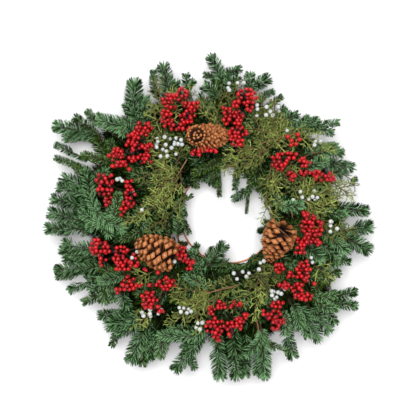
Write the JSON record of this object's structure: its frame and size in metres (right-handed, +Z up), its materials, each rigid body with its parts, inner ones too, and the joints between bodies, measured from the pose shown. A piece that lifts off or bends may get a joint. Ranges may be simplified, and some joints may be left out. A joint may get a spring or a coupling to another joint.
{
  "type": "fresh evergreen wreath",
  "caption": "Round wreath of fir sprays clamped on a wire ring, dressed with juniper, red and white berries and pine cones; hangs on a hook or lies flat.",
  "frame": {"origin": "middle of the whole wreath's footprint, on the surface that it lies on", "axes": "+Z up out of the wreath's face; +Y towards the top of the wreath as it hangs; +X to the right, seen from the front"},
  "size_m": [0.6096, 0.6016, 0.1049],
  "materials": {
    "copper_wire": "copper-coated wire, slightly dulled",
    "fir": "fresh blue-green needles with paler undersides",
    "cone": "dry brown scales with pale tips",
    "red_berry": "smooth glossy berry skin",
    "white_berry": "smooth waxy berry skin",
    "juniper": "olive scale leaves on brown twigs"
  },
  "bodies": {
    "root": {"clamp_ring": "copper_wire", "fir_bunch_01": "fir", "fir_bunch_02": "fir", "fir_bunch_03": "fir", "fir_bunch_04": "fir", "fir_bunch_05": "fir", "fir_bunch_06": "fir", "fir_bunch_07": "fir", "fir_bunch_08": "fir", "fir_bunch_09": "fir", "fir_bunch_10": "fir", "fir_bunch_11": "fir", "fir_bunch_12": "fir", "fir_bunch_13": "fir", "fir_bunch_14": "fir", "fir_bunch_15": "fir", "fir_bunch_16": "fir", "pine_cone_1": "cone", "pine_cone_2": "cone", "pine_cone_3": "cone", "cone_wire_1": "copper_wire", "cone_wire_2": "copper_wire", "cone_wire_3": "copper_wire", "red_berry_pick_01": "red_berry", "red_berry_pick_02": "red_berry", "red_berry_pick_03": "red_berry", "red_berry_pick_04": "red_berry", "red_berry_pick_05": "red_berry", "red_berry_pick_06": "red_berry", "red_berry_pick_07": "red_berry", "red_berry_pick_08": "red_berry", "red_berry_pick_09": "red_berry", "red_berry_pick_10": "red_berry", "red_berry_pick_11": "red_berry", "red_berry_pick_12": "red_berry", "red_berry_pick_13": "red_berry", "red_berry_pick_14": "red_berry", "red_berry_pick_15": "red_berry", "white_berry_sprig_1": "white_berry", "white_berry_sprig_2": "white_berry", "white_berry_sprig_3": "white_berry", "white_berry_sprig_4": "white_berry", "white_berry_sprig_5": "white_berry", "white_berry_sprig_6": "white_berry", "white_berry_sprig_7": "white_berry", "white_berry_sprig_8": "white_berry", "juniper_sprig_01": "juniper", "juniper_sprig_02": "juniper", "juniper_sprig_03": "juniper", "juniper_sprig_04": "juniper", "juniper_sprig_05": "juniper", "juniper_sprig_06": "juniper", "juniper_sprig_07": "juniper", "juniper_sprig_08": "juniper", "juniper_sprig_09": "juniper", "juniper_sprig_10": "juniper", "juniper_sprig_11": "juniper", "juniper_sprig_12": "juniper"}
  },
  "joints": []
}
